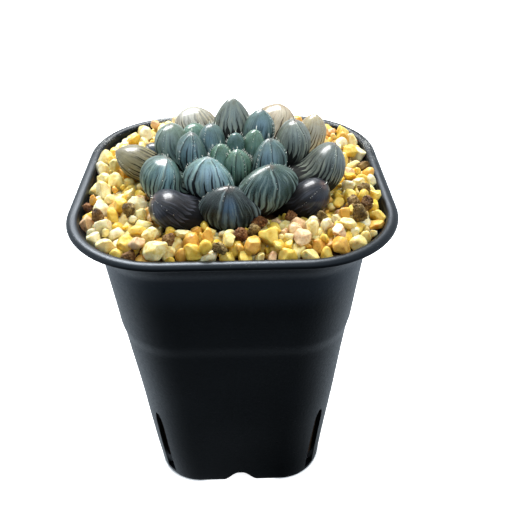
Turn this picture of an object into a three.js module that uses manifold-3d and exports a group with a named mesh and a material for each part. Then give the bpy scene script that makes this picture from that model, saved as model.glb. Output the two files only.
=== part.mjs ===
// A potted haworthia: a rosette of plump window leaves in a square black nursery pot.
// Millimetres, +Z up. The origin is the middle of the pot's foot, on the surface it stands on.
// The front of the pot faces -Y.

import * as THREE from "three";
import { mergeVertices } from "three/addons/utils/BufferGeometryUtils.js";
import Module from "manifold-3d";

const wasm = await Module();
wasm.setup();

// Driving dimensions

const GAP = 0.3; // clearance between pieces that touch

// The pot's outline is a square with round corners. It is given by its half width and by the half
// length of its straight sides, which is also where the centres of the corner arcs lie.
const RIM_HALF = 38;
const RIM_STRAIGHT = 15;
const WALL_HALF_TOP = 32.1; // where the line of the wall meets the lip
const WALL_HALF_FOOT = 24.6;
const WALL_STRAIGHT_FOOT = 11.5;
const WALL = 1.4;
// The rim is a narrow lip, rounded on both sides. Its level is where it is widest.
const LIP_LEVEL = 88.55;
const LIP_WIDTH = 2.8;
const LIP_RISE = 0.95;
const LIP_DROP = 0.85;
const LIP_UNDERSIDE = LIP_LEVEL - LIP_DROP;
const LIP_STEPS = 8;
const FLARE_START = 80.5; // the wall widens from here up to the lip
const LEDGE_HEIGHT = 57.3; // the wall is a little narrower below this line
const LEDGE_DEPTH = 0.4;
const CORNER_STEPS = 6;

const FOOT_WIDTH = 1.8; // of the ring that the pot stands on
const FOOT_BEVEL = 0.3;
const FLOOR_UNDERSIDE = 3.9;
const FLOOR_TOP = 5.3;

const SLIT_BOTTOM = 1.6; // one slit in each corner
const SLIT_TOP = 28.3;
const SLIT_WIDTH = 3.4;
const SLIT_POINT = 4; // length of its pointed upper end
const SLIT_REACH = 20; // distance from the pot's axis to the slit's inner end
const NOTCH_HALF_WIDTH = 5.4; // one arched notch in the foot on each side
const NOTCH_HALF_CROWN = 0.5;
const NOTCH_HEIGHT = 3.6;

const SOIL_TOP = 83.4;
const GRAVEL_BED = 86.4; // top of the layer that the grains are sunk in
const GRAVEL_LEVEL = 87.4; // where the middles of the grains lie
const GRAIN_SPACING = 5.3;
const GRAIN_SIZES = [2.6, 3.4]; // half lengths
const GRAIN_FLATNESS = [0.62, 0.9];
const GRAIN_SPREAD = [-0.9, 0.9]; // how far a grain strays from its place in the pattern
const GRAIN_LIFT = [-0.5, 0.4];
const GRAIN_MARGIN = 1.6; // from the middle of a grain to the rim
const GRAVEL_HOLE = 17; // no grains closer than this to the rosette's axis
const GRAVEL_SEED = 20;
const HEADROOM = 6; // above the lip, for the grains that stand highest
// Where the dressing is heaped up, and one place where it is scooped out: x, y, rise and spread.
const HEAPS = [
  { x: -20, y: 27.5, rise: 2.2, spread: 8 },
  { x: 26, y: 20, rise: 0.9, spread: 9 },
  { x: 4, y: -26, rise: 0.5, spread: 14 },
  { x: -33, y: 22, rise: -2.4, spread: 7 },
];

// The rosette's axis stands here.
const AXIS_X = 0.5;
const AXIS_Y = -1;
const STEM_RADIUS = 3;
const STEM_BOTTOM = 70;
const STEM_WIDE_FROM = 74; // it tapers below this level
const STEM_SHOULDER = 88;
const STEM_TOP = 91;
const ROOT_COUNT = 5;
const ROOT_LENGTH = 34;
const ROOT_RADIUS = 1.5;
const ROOT_TIP_RADIUS = 0.7;
const ROOT_SPLAY = 28; // degrees from straight down
const ROOT_TURN = 20; // direction of the first root
const ROOT_LEVEL = 76; // where the roots leave the stem
const ROOT_SIDES = 8;
const STEM_SIDES = 14;

// The leaves, from the innermost to the outermost. turn is the direction from the rosette's axis in
// degrees, and reach and height place the middle of the leaf's widest part. From there the leaf
// rises by the angle lean, turned sideways by yaw, for the length tip. root is the level where it
// leaves the stem, and bow shifts its neck sideways. peak makes its end more pointed, and so does
// point, or blunter where it is below 0.
const LEAVES = [
  { turn: 280, reach: 2, height: 99, lean: 85, tip: 3.5, width: 4.4, thick: 4.2, root: 91 },
  { turn: 350, reach: 4.5, height: 98.5, lean: 80, tip: 4.2, width: 5.8, thick: 5.2, root: 90,
    peak: 0.1 },
  { turn: 155, reach: 6, height: 98, lean: 85, tip: 4.7, width: 7.6, thick: 6.2, root: 89, peak: 0.05 },
  { turn: 246, reach: 7.2, height: 98, lean: 85, tip: 4, width: 5.6, thick: 5.2, root: 90, peak: 0.1 },
  { turn: 275, reach: 8.5, height: 97, lean: 90, tip: 4.4, width: 6.6, thick: 5.8, root: 90, peak: 0.2 },
  { turn: 52, reach: 10, height: 98.3, lean: 78, tip: 5.6, width: 8.2, thick: 7.2, root: 88, peak: 0.25 },
  { turn: 319, reach: 10.8, height: 97.3, lean: 92, tip: 6, width: 9.4, thick: 7.4, root: 88,
    peak: 0.25 },
  { turn: 197, reach: 10.7, height: 97.6, lean: 95, tip: 5.6, width: 8.6, thick: 7.2, root: 88,
    peak: 0.2 },
  { turn: 92, reach: 11.5, height: 97, lean: 68, tip: 8.2, width: 11, thick: 8, root: 88,
    point: 0.7, peak: 0.15 },
  { turn: 142, reach: 12.5, height: 95.9, lean: 80, tip: 4.6, width: 8.2, thick: 6.6, root: 88 },
  { turn: 11, reach: 14.5, height: 97.2, lean: 88, tip: 6.1, width: 11.4, thick: 8.4, root: 87,
    peak: 0.08 },
  { turn: 246, reach: 14.5, height: 95.9, lean: 95, tip: 6, width: 12.2, thick: 8, root: 87, peak: 0.3 },
  { turn: 163, reach: 16, height: 96.5, lean: 85, tip: 5.3, width: 10.4, thick: 8.2, root: 87,
    peak: 0.05 },
  { turn: 295, reach: 17.3, height: 95, lean: 82, yaw: 20, tip: 6.2, width: 16, thick: 9.2,
    root: 86.5, peak: 0.15 },
  { turn: 208.5, reach: 19.3, height: 93.7, lean: 108, tip: 6.2, width: 14, thick: 9.2, root: 86.5,
    peak: 0.1 },
  { turn: 266.5, reach: 19.5, height: 92.2, lean: 82, tip: 6.2, width: 14, thick: 8.8, root: 86,
    peak: 0.15 },
  { turn: 119.5, reach: 20.3, height: 94.6, lean: 45, tip: 6.4, width: 12.2, thick: 8.6,
    root: 86.5, peak: 0.08 },
  { turn: 60, reach: 20.5, height: 94.8, lean: 50, tip: 6.6, width: 12.4, thick: 8.6, root: 86.5,
    peak: 0.12 },
  { turn: 345.5, reach: 21.2, height: 93.8, lean: 66, yaw: 24, tip: 7.4, width: 13.6, thick: 9.6,
    root: 86.5, peak: 0.05 },
  { turn: 158, reach: 21.5, height: 91.5, lean: 50, tip: 4, width: 6.4, thick: 6, root: 86 },
  { turn: 28.5, reach: 22, height: 95.4, lean: 75, tip: 6, width: 8.4, thick: 7.2, root: 86.5,
    peak: 0.1 },
  { turn: 318, reach: 22, height: 91.6, lean: 50, yaw: 20, tip: 6, width: 9.8, thick: 8.2,
    root: 86, point: -0.6 },
  { turn: 175, reach: 23.5, height: 92.9, lean: 28, yaw: -5, tip: 6.6, width: 9.6, thick: 8,
    root: 86, peak: 0.3 },
  { turn: 236, reach: 23.5, height: 91.8, lean: 42, yaw: -45, tip: 6, width: 11.6, thick: 8.6,
    root: 86, bow: 2, point: -1.2 },
  { turn: 90, reach: 21.5, height: 91.2, lean: 35, tip: 5, width: 9, thick: 6, root: 86 },
];
const LEAF_SIDES = 10;
const LEAF_LOW_RINGS = 4;
const LEAF_CAP_RINGS = 4;
const LEAF_ROOT_RADIUS = 2; // where the midline starts, from the rosette's axis
const LEAF_ROOT_SHARE = 0.5; // width at the root as a share of the greatest width
const LEAF_NECK_REACH = 0.55; // the neck's place between the root and the widest part
const LEAF_NECK_RISE = 0.32;
const LEAF_SWELL = 1.1; // power of the curve that widens the leaf above its root
const LEAF_ROUNDNESS = 2.2; // power of the curve that closes the leaf's end

const degrees = THREE.MathUtils.degToRad;

// Solids: a closed geometry becomes a solid that can be joined and cut.

function solidOf(geometry) {
  geometry.deleteAttribute("normal");
  geometry.deleteAttribute("uv");
  const merged = mergeVertices(geometry, 1e-4);
  return new wasm.Manifold(
    new wasm.Mesh({
      numProp: 3,
      vertProperties: merged.attributes.position.array,
      triVerts: new Uint32Array(merged.index.array),
    }),
  );
}

function geometryOf(solid) {
  const mesh = solid.getMesh();
  const geometry = new THREE.BufferGeometry();
  geometry.setAttribute("position", new THREE.BufferAttribute(mesh.vertProperties, 3));
  geometry.setIndex(new THREE.BufferAttribute(mesh.triVerts, 1));
  geometry.computeVertexNormals();
  return geometry;
}

// Cutting can leave loose scraps, and only the body itself is kept.
function largestBody(solid) {
  return solid.decompose().reduce((a, b) => (a.volume() > b.volume() ? a : b));
}

// A skin over rings of equal length, closed at each end by a fan to an end point.
function loft(startPoint, rings, endPoint) {
  const count = rings[0].length;
  const points = [startPoint, ...rings.flat(), endPoint];
  const triangles = [];
  const last = points.length - 1;
  for (let side = 0; side < count; side++) {
    const next = (side + 1) % count;
    triangles.push(0, 1 + next, 1 + side);
    for (let ring = 0; ring < rings.length - 1; ring++) {
      const low = 1 + ring * count;
      const high = low + count;
      triangles.push(low + side, low + next, high + next);
      triangles.push(low + side, high + next, high + side);
    }
    const end = last - count;
    triangles.push(end + side, end + next, last);
  }
  const geometry = new THREE.BufferGeometry().setFromPoints(points);
  geometry.setIndex(triangles);
  return geometry;
}

// The pot's outline

function squareRing(half, straight, z) {
  const radius = half - straight;
  const ring = [];
  for (let corner = 0; corner < 4; corner++) {
    const middle = degrees(45 + 90 * corner);
    const centreX = straight * Math.sign(Math.cos(middle));
    const centreY = straight * Math.sign(Math.sin(middle));
    for (let step = 0; step <= CORNER_STEPS; step++) {
      const angle = degrees(90 * (corner + step / CORNER_STEPS));
      const x = centreX + radius * Math.cos(angle);
      const y = centreY + radius * Math.sin(angle);
      ring.push(new THREE.Vector3(x, y, z));
    }
  }
  return ring;
}

const alongWall = (foot, top, z) => THREE.MathUtils.lerp(foot, top, z / LIP_UNDERSIDE);
const wallHalf = (z) => alongWall(WALL_HALF_FOOT, WALL_HALF_TOP, z);
const wallStraight = (z) => alongWall(WALL_STRAIGHT_FOOT, RIM_STRAIGHT, z);

// How far the flare under the lip stands out from the line of the wall, outside and inside.
const OUTER_FLARE = { start: FLARE_START, end: LIP_UNDERSIDE, out: 4.5, power: 1.6 };
const INNER_FLARE = { start: 81, end: 88, out: 4.4, power: 1.5 };
function flareOut(flare, z) {
  const share = Math.max(0, (z - flare.start) / (flare.end - flare.start));
  return flare.out * share ** flare.power;
}
const outerHalf = (z) => wallHalf(z) + flareOut(OUTER_FLARE, z);
const innerHalf = (z) => wallHalf(z) - WALL + flareOut(INNER_FLARE, z);
const wallRing = (halfAt, z) => squareRing(halfAt(z), wallStraight(z), z);

// The rings of the lip, from its underside over the top to the inside.
function lipRings() {
  const rings = [];
  for (let step = 0; step <= LIP_STEPS; step++) {
    const angle = degrees(THREE.MathUtils.lerp(-60, 180, step / LIP_STEPS));
    const half = RIM_HALF - (LIP_WIDTH / 2) * (1 - Math.cos(angle));
    const height = (angle > 0 ? LIP_RISE : LIP_DROP) * Math.sin(angle);
    rings.push(squareRing(half, RIM_STRAIGHT, LIP_LEVEL + height));
  }
  return rings;
}

function potShell() {
  const ledgeHalf = (z) => wallHalf(z) - LEDGE_DEPTH;
  const rings = [
    squareRing(wallHalf(0) - FOOT_WIDTH, WALL_STRAIGHT_FOOT, FLOOR_UNDERSIDE),
    squareRing(wallHalf(0) - FOOT_WIDTH, WALL_STRAIGHT_FOOT, 0),
    squareRing(ledgeHalf(0) - FOOT_BEVEL, WALL_STRAIGHT_FOOT, 0),
    wallRing(ledgeHalf, FOOT_BEVEL),
    wallRing(ledgeHalf, LEDGE_HEIGHT - LEDGE_DEPTH),
    wallRing(wallHalf, LEDGE_HEIGHT),
    ...[FLARE_START, 83, 85.4, LIP_UNDERSIDE].map((z) => wallRing(outerHalf, z)),
    ...lipRings(),
    ...[88, 86.6, 85.2, 83.4, INNER_FLARE.start].map((z) => wallRing(innerHalf, z)),
    wallRing(innerHalf, FLOOR_TOP),
  ];
  const underside = new THREE.Vector3(0, 0, FLOOR_UNDERSIDE);
  const floor = new THREE.Vector3(0, 0, FLOOR_TOP);
  return solidOf(loft(underside, rings, floor));
}

// A prism whose outline, in x and z, is pushed out along the radius at the given angle.
function radialCutter(outline, inner, outer, angle) {
  const shape = new THREE.Shape(outline.map(([x, z]) => new THREE.Vector2(x, z)));
  const geometry = new THREE.ExtrudeGeometry(shape, { depth: outer - inner, bevelEnabled: false });
  geometry.translate(0, 0, -outer);
  geometry.rotateX(Math.PI / 2);
  geometry.rotateZ(degrees(angle) - Math.PI / 2);
  return solidOf(geometry);
}

function slitOutline() {
  const half = SLIT_WIDTH / 2;
  return [
    [-half, SLIT_BOTTOM],
    [half, SLIT_BOTTOM],
    [half * 0.85, SLIT_TOP - SLIT_POINT],
    [half * 0.3, SLIT_TOP],
    [-half * 0.3, SLIT_TOP],
    [-half * 0.85, SLIT_TOP - SLIT_POINT],
  ];
}

function notchOutline() {
  const steps = 5;
  const below = -1;
  const right = [[NOTCH_HALF_WIDTH, below]];
  for (let step = 0; step <= steps; step++) {
    const share = step / steps;
    const x = THREE.MathUtils.lerp(NOTCH_HALF_WIDTH, NOTCH_HALF_CROWN, share);
    right.push([x, (NOTCH_HEIGHT * (1 - Math.cos(Math.PI * share))) / 2]);
  }
  const left = right.map(([x, z]) => [-x, z]).reverse();
  return [...right, ...left];
}

function makePot() {
  const reach = 2 * RIM_HALF;
  let pot = potShell();
  for (const side of [0, 90, 180, 270]) {
    pot = pot.subtract(radialCutter(notchOutline(), SLIT_REACH, reach, side));
    pot = pot.subtract(radialCutter(slitOutline(), SLIT_REACH, reach, side + 45));
  }
  return pot;
}

// Stem and roots

const onAxis = (z) => new THREE.Vector3(AXIS_X, AXIS_Y, z);

function stemSolid(grow) {
  const bottom = STEM_BOTTOM - grow;
  const profile = [
    [0, bottom],
    [STEM_RADIUS * 0.7 + grow, bottom],
    [STEM_RADIUS + grow, STEM_WIDE_FROM],
    [STEM_RADIUS + grow, STEM_SHOULDER],
    [STEM_RADIUS * 0.35 + grow, STEM_TOP + grow],
    [0, STEM_TOP + grow],
  ];
  const outline = profile.map(([x, z]) => new THREE.Vector2(x, z));
  const geometry = new THREE.LatheGeometry(outline, STEM_SIDES);
  geometry.rotateX(Math.PI / 2);
  geometry.translate(AXIS_X, AXIS_Y, 0);
  return solidOf(geometry);
}

function rootSolid(index, grow) {
  const length = ROOT_LENGTH + 2 * grow;
  const top = ROOT_RADIUS + grow;
  const tip = ROOT_TIP_RADIUS + grow;
  const geometry = new THREE.CylinderGeometry(top, tip, length, ROOT_SIDES);
  geometry.translate(0, -ROOT_LENGTH / 2, 0);
  geometry.rotateX(Math.PI / 2);
  geometry.rotateY(degrees(ROOT_SPLAY));
  geometry.rotateZ(degrees((360 * index) / ROOT_COUNT + ROOT_TURN));
  geometry.translate(AXIS_X, AXIS_Y, ROOT_LEVEL);
  return solidOf(geometry);
}

function makeStem(grow = 0) {
  let stem = stemSolid(grow);
  for (let index = 0; index < ROOT_COUNT; index++) {
    stem = stem.add(rootSolid(index, grow));
  }
  return stem;
}

function makeSoil() {
  const fillHalf = (z) => wallHalf(z) - WALL - GAP;
  const bottom = FLOOR_TOP + GAP;
  const rings = [bottom, SOIL_TOP].map((z) => wallRing(fillHalf, z));
  const middle = (z) => new THREE.Vector3(0, 0, z);
  return solidOf(loft(middle(bottom), rings, middle(SOIL_TOP)));
}

// Leaves

// The direction at a compass angle and an elevation.
function heading(turn, elevation) {
  const flat = Math.cos(degrees(elevation));
  return new THREE.Vector3(
    Math.cos(degrees(turn)) * flat,
    Math.sin(degrees(turn)) * flat,
    Math.sin(degrees(elevation)),
  );
}

// The leaf's midline passes through its root, neck, widest part and tip.
function leafStations(leaf) {
  const { turn, reach, height, lean, tip, root, yaw = 0, bow = 0 } = leaf;
  const out = heading(turn, 0);
  const side = new THREE.Vector3(-out.y, out.x, 0);
  const neckReach = LEAF_ROOT_RADIUS + LEAF_NECK_REACH * (reach - LEAF_ROOT_RADIUS);
  const neckHeight = root + LEAF_NECK_RISE * (height - root);
  const start = onAxis(root).addScaledVector(out, LEAF_ROOT_RADIUS);
  const neck = onAxis(neckHeight).addScaledVector(out, neckReach).addScaledVector(side, bow);
  const widest = onAxis(height).addScaledVector(out, reach);
  const end = widest.clone().addScaledVector(heading(turn + yaw, lean), tip);
  return [start, neck, widest, end];
}

// A smooth curve through the stations, as points and directions at the given shares of its length.
function midline(stations, shares, knots) {
  const first = stations[0].clone().multiplyScalar(2).sub(stations[1]);
  const last = stations[3].clone().multiplyScalar(2).sub(stations[2]);
  const points = [first, ...stations, last];
  const lengths = [];
  for (let i = 0; i < 5; i++) {
    lengths.push(points[i].distanceTo(points[i + 1]));
  }
  // The slope at a station, weighted by the lengths on its two sides.
  const slopes = stations.map((_, i) => {
    const before = lengths[i];
    const after = lengths[i + 1];
    const backward = points[i + 1].clone().sub(points[i]).multiplyScalar(after / before);
    const forward = points[i + 2].clone().sub(points[i + 1]).multiplyScalar(before / after);
    return backward.add(forward).divideScalar(before + after);
  });
  return shares.map((share) => {
    const span = Math.min(2, Math.max(0, knots.findLastIndex((knot) => share >= knot)));
    const a = (share - knots[span]) / (knots[span + 1] - knots[span]);
    const length = lengths[span + 1];
    const place = (p, m, q, n) =>
      new THREE.Vector3()
        .addScaledVector(stations[span], p)
        .addScaledVector(slopes[span], m * length)
        .addScaledVector(stations[span + 1], q)
        .addScaledVector(slopes[span + 1], n * length);
    const [a2, a3] = [a * a, a * a * a];
    return {
      point: place(2 * a3 - 3 * a2 + 1, a3 - 2 * a2 + a, 3 * a2 - 2 * a3, a3 - a2),
      direction: place(6 * a2 - 6 * a, 3 * a2 - 4 * a + 1, 6 * a - 6 * a2, 3 * a2 - 2 * a).normalize(),
    };
  });
}

// Each station's share of the midline's length.
function knotsOf(stations) {
  const spans = [1, 2, 3].map((i) => stations[i].distanceTo(stations[i - 1]));
  const whole = spans[0] + spans[1] + spans[2];
  return [0, spans[0] / whole, (spans[0] + spans[1]) / whole, 1];
}

// The leaf swells from its root to its widest part and closes in a round end.
function swelling(leaf, share, widest) {
  if (share < widest) {
    const rise = Math.sin((Math.PI / 2) * (share / widest)) ** LEAF_SWELL;
    return LEAF_ROOT_SHARE + (1 - LEAF_ROOT_SHARE) * rise;
  }
  const past = Math.min(1, (share - widest) / (1 - widest));
  const closing = Math.max(0, 1 - past ** (LEAF_ROUNDNESS - (leaf.point ?? 0)));
  return closing ** (0.5 + (leaf.peak ?? 0));
}

// One leaf, grown on all sides by the given amount.
function leafSolid(leaf, grow) {
  const stations = leafStations(leaf);
  const knots = knotsOf(stations);
  const widest = knots[2];
  const shares = [];
  for (let i = 0; i < LEAF_LOW_RINGS; i++) {
    shares.push((widest * i) / LEAF_LOW_RINGS);
  }
  for (let i = 0; i < LEAF_CAP_RINGS; i++) {
    shares.push(widest + (1 - widest) * Math.sin(((Math.PI / 2) * i) / LEAF_CAP_RINGS));
  }
  const line = midline(stations, [...shares, 1], knots);
  const out = heading(leaf.turn + (leaf.yaw ?? 0) / 2, 0);
  const across = new THREE.Vector3(-out.y, out.x, 0);
  const rings = shares.map((share, i) => {
    const { point, direction } = line[i];
    const side = across.clone().addScaledVector(direction, -across.dot(direction)).normalize();
    const up = direction.clone().cross(side);
    const size = swelling(leaf, share, widest);
    const ring = [];
    for (let step = 0; step < LEAF_SIDES; step++) {
      const angle = (2 * Math.PI * step) / LEAF_SIDES;
      const x = Math.cos(angle) * ((leaf.width / 2) * size + grow);
      const y = Math.sin(angle) * ((leaf.thick / 2) * size + grow);
      ring.push(point.clone().addScaledVector(side, x).addScaledVector(up, y));
    }
    return ring;
  });
  const end = line.at(-1);
  const start = line[0].point.clone().addScaledVector(line[0].direction, -grow);
  return solidOf(loft(start, rings, end.point.clone().addScaledVector(end.direction, grow)));
}

const overlaps = (a, b) => {
  const [p, q] = [a.boundingBox(), b.boundingBox()];
  return [0, 1, 2].every((k) => p.min[k] < q.max[k] && q.min[k] < p.max[k]);
};

// Inner leaves keep their whole form, and the outer ones press against them.
function makeLeaves(stemSpace) {
  const spaces = LEAVES.map((leaf) => leafSolid(leaf, GAP));
  return LEAVES.map((leaf, index) => {
    let solid = leafSolid(leaf, 0).subtract(stemSpace);
    for (const space of spaces.slice(0, index)) {
      if (overlaps(solid, space)) {
        solid = solid.subtract(space);
      }
    }
    return { solid: largestBody(solid), space: spaces[index] };
  });
}

// Gravel

// A repeatable source of numbers between 0 and 1.
function randomSource(seed) {
  let state = seed;
  return () => {
    state = (state * 1664525 + 1013904223) % 4294967296;
    return state / 4294967296;
  };
}

function heapRise(x, y) {
  let rise = 0;
  for (const heap of HEAPS) {
    rise += heap.rise * Math.exp(-(((x - heap.x) ** 2 + (y - heap.y) ** 2) / heap.spread ** 2));
  }
  return rise;
}

// Whether a place lies far enough inside the rim for a grain.
function insideRim(x, y) {
  const half = innerHalf(GRAVEL_BED) - GRAIN_MARGIN;
  const beyondX = Math.max(0, Math.abs(x) - RIM_STRAIGHT);
  const beyondY = Math.max(0, Math.abs(y) - RIM_STRAIGHT);
  return Math.hypot(beyondX, beyondY) < half - RIM_STRAIGHT;
}

// The grains lie in a triangular pattern, each strayed, sized and turned at random.
function grains() {
  const random = randomSource(GRAVEL_SEED);
  const between = ([low, high]) => low + (high - low) * random();
  const rowStep = (GRAIN_SPACING * Math.sqrt(3)) / 2;
  const rows = Math.ceil(RIM_HALF / rowStep);
  const columns = Math.ceil(RIM_HALF / GRAIN_SPACING);
  const found = [];
  for (let row = -rows; row <= rows; row++) {
    for (let column = -columns; column <= columns; column++) {
      const shift = (Math.abs(row) % 2) / 2;
      const grain = {
        x: (column + shift) * GRAIN_SPACING + between(GRAIN_SPREAD),
        y: row * rowStep + between(GRAIN_SPREAD),
        length: between(GRAIN_SIZES),
        width: between(GRAIN_FLATNESS),
        depth: between(GRAIN_FLATNESS),
        turns: [2 * Math.PI * random(), 2 * Math.PI * random(), 2 * Math.PI * random()],
        lift: between(GRAIN_LIFT),
      };
      const fromAxis = Math.hypot(grain.x - AXIS_X, grain.y - AXIS_Y);
      if (fromAxis > GRAVEL_HOLE && insideRim(grain.x, grain.y)) {
        found.push(grain);
      }
    }
  }
  return found;
}

function grainSolid(grain) {
  const geometry = new THREE.IcosahedronGeometry(1, 0);
  geometry.scale(grain.length, grain.length * grain.width, grain.length * grain.depth);
  geometry.rotateX(grain.turns[0]);
  geometry.rotateY(grain.turns[1]);
  geometry.rotateZ(grain.turns[2]);
  geometry.translate(grain.x, grain.y, GRAVEL_LEVEL + grain.lift + heapRise(grain.x, grain.y));
  return solidOf(geometry);
}

// The space inside the pot's wall and rim, from one level to another.
function spaceInside(bottom, top) {
  const clearHalf = (z) => innerHalf(Math.min(z, INNER_FLARE.end)) - GAP * Math.SQRT2;
  const levels = [bottom, 84.6, 85.6, GRAVEL_BED, GRAVEL_LEVEL, top];
  const rings = levels.map((z) => squareRing(clearHalf(z), wallStraight(z), z));
  const middle = (z) => new THREE.Vector3(0, 0, z);
  return solidOf(loft(middle(bottom), rings, middle(top)));
}

function makeGravel(leaves, stemSpace) {
  const bottom = SOIL_TOP + GAP;
  const above = LIP_LEVEL + HEADROOM;
  const layerTop = loft(
    new THREE.Vector3(0, 0, GRAVEL_BED),
    [GRAVEL_BED, above].map((z) => squareRing(RIM_HALF, RIM_STRAIGHT, z)),
    new THREE.Vector3(0, 0, above),
  );
  const room = spaceInside(bottom, above);
  const layer = room.subtract(solidOf(layerTop));
  const heap = wasm.Manifold.union(grains().map(grainSolid)).intersect(room);
  let gravel = layer.add(heap).subtract(stemSpace);
  for (const leaf of leaves) {
    gravel = gravel.subtract(leaf.space);
  }
  return largestBody(gravel);
}

// Materials

function matte(color, roughness) {
  return new THREE.MeshStandardMaterial({ color, roughness, metalness: 0 });
}
const BLACK_PLASTIC = matte(0x1b1f24, 0.45);
const POTTING_MIX = matte(0x3a2b1f, 0.95);
const YELLOW_GRAVEL = matte(0xd9c387, 0.8);
const PALE_STEM = matte(0xa9a27c, 0.7);
const LEAF_GREEN = matte(0x5d7471, 0.3);

// The whole plant in its pot

function meshOf(name, solid, material) {
  const mesh = new THREE.Mesh(geometryOf(solid), material);
  mesh.name = name;
  return mesh;
}

const stemSpace = makeStem(GAP);
const leaves = makeLeaves(stemSpace);

const plant = new THREE.Group();
plant.add(meshOf("pot", makePot(), BLACK_PLASTIC));
plant.add(meshOf("soil", makeSoil().subtract(stemSpace), POTTING_MIX));
plant.add(meshOf("gravel", makeGravel(leaves, stemSpace), YELLOW_GRAVEL));
plant.add(meshOf("stem", makeStem(), PALE_STEM));
leaves.forEach((leaf, index) => {
  const name = "leaf_" + String(index + 1).padStart(2, "0");
  plant.add(meshOf(name, leaf.solid, LEAF_GREEN));
});

export default plant;
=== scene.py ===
"""The looks of a potted haworthia: a rosette of window leaves on gravel in a black nursery pot.

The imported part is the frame. Lengths here are millimetres until a mesh is made, and the front of
the pot faces -Y.
"""

import math

import bmesh
import bpy
import numpy as np
from mathutils import Matrix, Vector, noise


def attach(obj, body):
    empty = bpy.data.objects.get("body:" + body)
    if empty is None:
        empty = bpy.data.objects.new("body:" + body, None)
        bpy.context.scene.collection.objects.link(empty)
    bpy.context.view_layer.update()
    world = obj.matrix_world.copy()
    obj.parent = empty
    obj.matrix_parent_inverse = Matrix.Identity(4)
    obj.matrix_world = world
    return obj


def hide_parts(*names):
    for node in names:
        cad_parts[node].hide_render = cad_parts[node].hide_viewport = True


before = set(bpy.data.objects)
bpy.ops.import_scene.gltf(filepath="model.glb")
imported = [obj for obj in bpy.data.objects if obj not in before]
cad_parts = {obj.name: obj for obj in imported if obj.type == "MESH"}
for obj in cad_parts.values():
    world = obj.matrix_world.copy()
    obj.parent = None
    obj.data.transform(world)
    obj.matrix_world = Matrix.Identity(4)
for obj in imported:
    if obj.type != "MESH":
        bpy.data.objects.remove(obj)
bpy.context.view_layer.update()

MM = 0.001

# The camera of the photograph, which looks down on the pot from its front.
IMAGE_PIXELS = 518
FOCAL_PIXELS = 643.4
SENSOR = 36
CAMERA_DISTANCE = 175.6  # from the point on the pot's axis at CAMERA_LEVEL
CAMERA_LEVEL = 63.8
CAMERA_PITCH = 35.73  # degrees below the horizon
CAMERA_PAN = 2.07
CAMERA_ROLL = -1.66
CAMERA_AZIMUTH = 0.96

# The studio's floor, backdrop, lights and sky
FLOOR_HALF = 6000
BACKDROP_RADIUS = 5800
SOFTBOX = {"elevation": 50, "distance": 620, "width": 420, "height": 280}
LIGHT_AIM = Vector((0, 0, 92))
SKY_COLOUR = (0.84, 0.95, 1.05, 1.0)
SKY_SLANT = 0.5  # how much height counts beside depth in the sky's gradient
SKY_GRADIENT = (-0.85, -0.1, 0.07, 0.95)  # from dim in front and below to bright above and behind

# The pot
RIM_HALF = 38
RIM_STRAIGHT = 15
WALL_HALF_TOP = 32.1
WALL_HALF_FOOT = 24.6
WALL_STRAIGHT_FOOT = 11.5
WALL = 1.4
LIP = {"level": 88.55, "width": 2.8, "rise": 0.95, "drop": 0.85}
LIP_UNDERSIDE = LIP["level"] - LIP["drop"]
FLARE_START = 80.5
FLARE_OUT = 4.5
FLARE_POWER = 1.6  # how steeply it curves out
INNER_FLARE_START = 81
INNER_FLARE_END = 88
INNER_FLARE_OUT = 4.4
INNER_FLARE_POWER = 1.5
LEDGE_HEIGHT = 57.3
LEDGE_DEPTH = 0.4
LEDGE_SPREAD = 2.4
FOOT_WIDTH = 1.8
FOOT_BEVEL = 0.3
FLOOR_UNDERSIDE = 3.9
FLOOR_TOP = 5.3
SLIT = {"bottom": 1.6, "top": 28.3, "width": 3.4, "point": 4, "inner": 20}
NOTCH = {"half_width": 5.4, "half_crown": 0.5, "height": 3.6}
WALL_DRIFT = 0.18  # how far the moulded wall strays, between these heights
DRIFT_HEIGHTS = (3, 84)
POT_CORNER_STEPS = 22
POT_SIDE_STEPS = 16
SHARP_ANGLE = 38  # degrees between faces that meet in an edge

# The rosette. Each leaf has the same numbers as in the part's source.
AXIS = np.array([0.5, -1.0, 0.0])


def leaf_shape(turn, reach, height, lean, tip, width, thick, root, **more):
    """A leaf's numbers: the turn, reach and height of its widest place, its lean there, how far its tip
    goes on from there, its width and thickness, and the height of its root on the stem. More may be
    its yaw and bow, and how pointed it is: its peak and point.
    """
    place = {"turn": turn, "reach": reach, "height": height, "lean": lean, "root": root}
    return {**place, "tip": tip, "width": width, "thick": thick, **more}


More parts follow.
